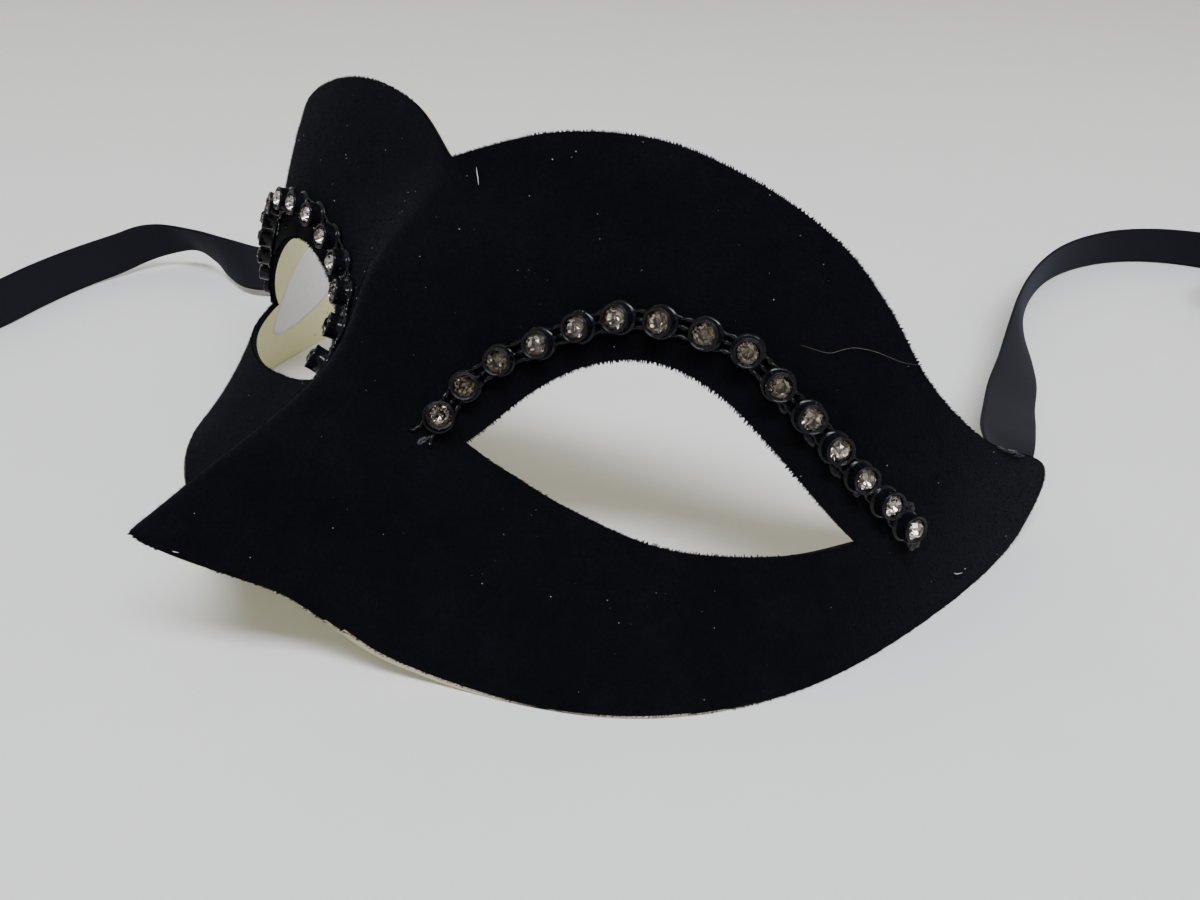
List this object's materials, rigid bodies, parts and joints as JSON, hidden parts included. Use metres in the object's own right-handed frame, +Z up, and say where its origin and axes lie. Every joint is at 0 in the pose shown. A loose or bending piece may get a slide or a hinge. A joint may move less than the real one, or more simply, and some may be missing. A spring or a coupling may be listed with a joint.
{
  "type": "masquerade eye mask",
  "caption": "Flocked half mask with lobed brow, nose ridge, almond eye openings, set-stone strips over the eyes and ribbon ties at the temples.",
  "frame": {"origin": "on the table plane, at the middle of the mask without its ribbons", "axes": "+Z up from the table, +X to the wearer's left, and the face looks towards -Y"},
  "size_m": [0.3495, 0.3231, 0.0748],
  "materials": {
    "black_flock": "black velvet-like flock on a moulded sheet, bare cream sheet inside",
    "black_plastic": "glossy moulded black",
    "crystal": "faceted, foil-backed, bright",
    "sticker": "plain pale oval sticker, matt",
    "ribbon": "charcoal satin ribbon, soft sheen"
  },
  "bodies": {
    "root": {"mask_shell": "black_flock", "left_rhinestone_strip": "black_plastic", "left_stone_01": "crystal", "left_stone_02": "crystal", "left_stone_03": "crystal", "left_stone_04": "crystal", "left_stone_05": "crystal", "left_stone_06": "crystal", "left_stone_07": "crystal", "left_stone_08": "crystal", "left_stone_09": "crystal", "left_stone_10": "crystal", "left_stone_11": "crystal", "left_stone_12": "crystal", "left_stone_13": "crystal", "left_stone_14": "crystal", "left_stone_15": "crystal", "right_rhinestone_strip": "black_plastic", "right_stone_01": "crystal", "right_stone_02": "crystal", "right_stone_03": "crystal", "right_stone_04": "crystal", "right_stone_05": "crystal", "right_stone_06": "crystal", "right_stone_07": "crystal", "right_stone_08": "crystal", "right_stone_09": "crystal", "right_stone_10": "crystal", "right_stone_11": "crystal", "right_stone_12": "crystal", "right_stone_13": "crystal", "right_stone_14": "crystal", "right_stone_15": "crystal", "inner_sticker": "sticker", "left_ribbon": "ribbon", "left_ribbon_coil": "ribbon", "right_ribbon": "ribbon", "right_ribbon_coil": "ribbon"}
  },
  "joints": []
}
